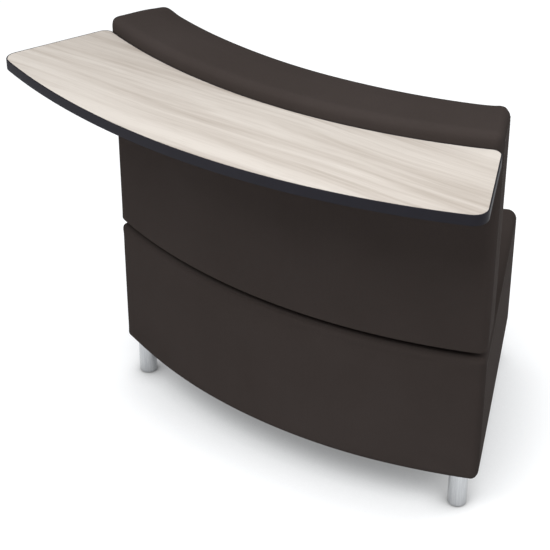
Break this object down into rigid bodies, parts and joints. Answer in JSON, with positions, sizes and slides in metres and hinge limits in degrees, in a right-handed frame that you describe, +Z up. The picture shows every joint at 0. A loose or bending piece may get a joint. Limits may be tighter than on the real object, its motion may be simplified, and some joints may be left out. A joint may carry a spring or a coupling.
{
  "type": "checkout counter",
  "caption": "Curved service counter unit: padded bench base on round metal legs, tall padded back and an overhanging wood-grain worktop at standing height.",
  "frame": {"origin": "on the floor, at the middle of the unit's plan", "axes": "+Z up; -Y from the back's face towards the customer's side, where the worktop overhangs; +X to the right as seen from there; the curve's centre lies on the +Y side at X = 0"},
  "size_m": [1.3648, 1.1213, 1.106],
  "materials": {
    "upholstery": "satin coated upholstery fabric",
    "foam": "matte",
    "plywood": "matte",
    "chipboard": "matte",
    "laminate": "fine matte wood-grain laminate",
    "edging": "matte",
    "polished_steel": "polished",
    "zinc_steel": "zinc plated",
    "painted_steel": "satin powder coat",
    "nylon": "matte",
    "liner": "matte non-woven"
  },
  "bodies": {
    "counter": {"base_floor_panel": "plywood", "seat_panel": "plywood", "base_outer_skin": "plywood", "base_inner_skin": "plywood", "base_end_panel_left": "plywood", "base_end_panel_right": "plywood", "base_rib_left": "plywood", "base_rib_right": "plywood", "back_plinth": "plywood", "back_bottom_rail": "plywood", "back_top_rail": "plywood", "back_outer_skin": "plywood", "back_inner_skin": "plywood", "back_end_panel_left": "plywood", "back_end_panel_right": "plywood", "back_post_left": "plywood", "back_post_middle": "plywood", "back_post_right": "plywood", "seat_cushion": "foam", "base_outer_foam": "foam", "base_inner_foam": "foam", "base_end_foam_left": "foam", "base_end_foam_right": "foam", "back_cushion": "foam", "back_outer_foam": "foam", "back_top_foam": "foam", "back_end_foam_left": "foam", "back_end_foam_right": "foam", "base_cover": "upholstery", "back_cover": "upholstery", "dust_cover": "liner", "worktop_core": "chipboard", "worktop_laminate": "laminate", "worktop_backer": "laminate", "worktop_edge_band": "edging", "worktop_bracket_left": "painted_steel", "worktop_bracket_middle": "painted_steel", "worktop_bracket_right": "painted_steel", "leg_tube_1": "polished_steel", "leg_plug_1": "zinc_steel", "leg_tee_nut_1": "zinc_steel", "leg_tube_2": "polished_steel", "leg_plug_2": "zinc_steel", "leg_tee_nut_2": "zinc_steel", "leg_tube_3": "polished_steel", "leg_plug_3": "zinc_steel", "leg_tee_nut_3": "zinc_steel", "leg_tube_4": "polished_steel", "leg_plug_4": "zinc_steel", "leg_tee_nut_4": "zinc_steel", "back_bolt_1": "zinc_steel", "back_nut_1": "zinc_steel", "back_bolt_2": "zinc_steel", "back_nut_2": "zinc_steel", "back_bolt_3": "zinc_steel", "back_nut_3": "zinc_steel"},
    "foot_1": {"levelling_foot_1": "nylon"},
    "foot_2": {"levelling_foot_2": "nylon"},
    "foot_3": {"levelling_foot_3": "nylon"},
    "foot_4": {"levelling_foot_4": "nylon"}
  },
  "joints": [
    {"name": "foot_1_height", "type": "slide", "parent": "counter", "child": "foot_1", "axis": [0, 0, 1], "range_m": [-0.012, 0]},
    {"name": "foot_2_height", "type": "slide", "parent": "counter", "child": "foot_2", "axis": [0, 0, 1], "range_m": [-0.012, 0]},
    {"name": "foot_3_height", "type": "slide", "parent": "counter", "child": "foot_3", "axis": [0, 0, 1], "range_m": [-0.012, 0]},
    {"name": "foot_4_height", "type": "slide", "parent": "counter", "child": "foot_4", "axis": [0, 0, 1], "range_m": [-0.012, 0]}
  ]
}
